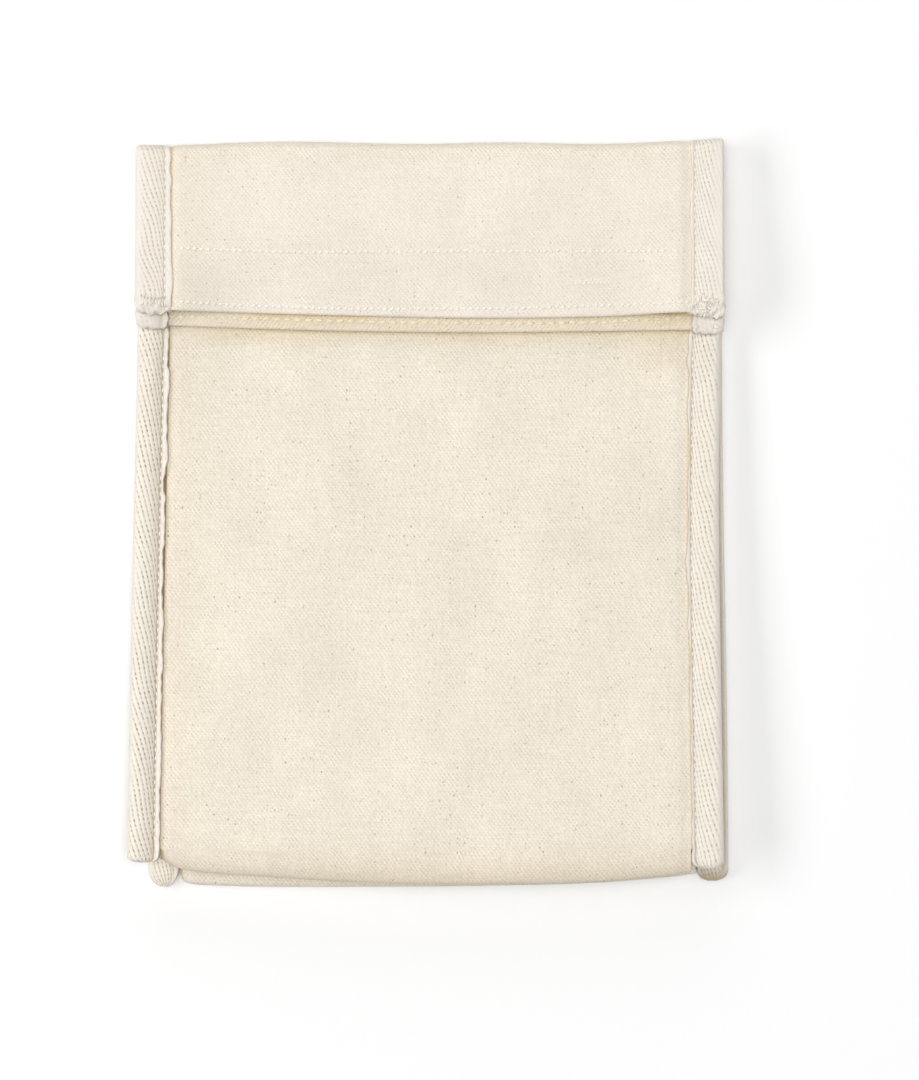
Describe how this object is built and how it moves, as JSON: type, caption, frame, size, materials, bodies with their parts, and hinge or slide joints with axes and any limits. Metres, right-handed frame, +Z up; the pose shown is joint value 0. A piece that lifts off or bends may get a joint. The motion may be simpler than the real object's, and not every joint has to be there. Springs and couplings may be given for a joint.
{
  "type": "folded canvas cooler bag",
  "caption": "Flat-folded canvas cooler bag with tucked side gussets, tape-bound seams and its closed mouth folded over the front.",
  "frame": {"origin": "centre of the bag's outline, on the surface that its back lies on", "axes": "+Z up out of the bag's front, +Y towards the folded top, +X to the right as the front is looked at"},
  "size_m": [0.2104, 0.2627, 0.0206],
  "materials": {
    "canvas": "natural unbleached cotton canvas, plain weave, matte",
    "binding": "off-white cotton herringbone tape, matte"
  },
  "bodies": {
    "root": {"canvas_body": "canvas", "gusset_left": "canvas", "gusset_right": "canvas", "front_binding_left": "binding", "front_binding_right": "binding", "back_binding_left": "binding", "back_binding_right": "binding"}
  },
  "joints": []
}
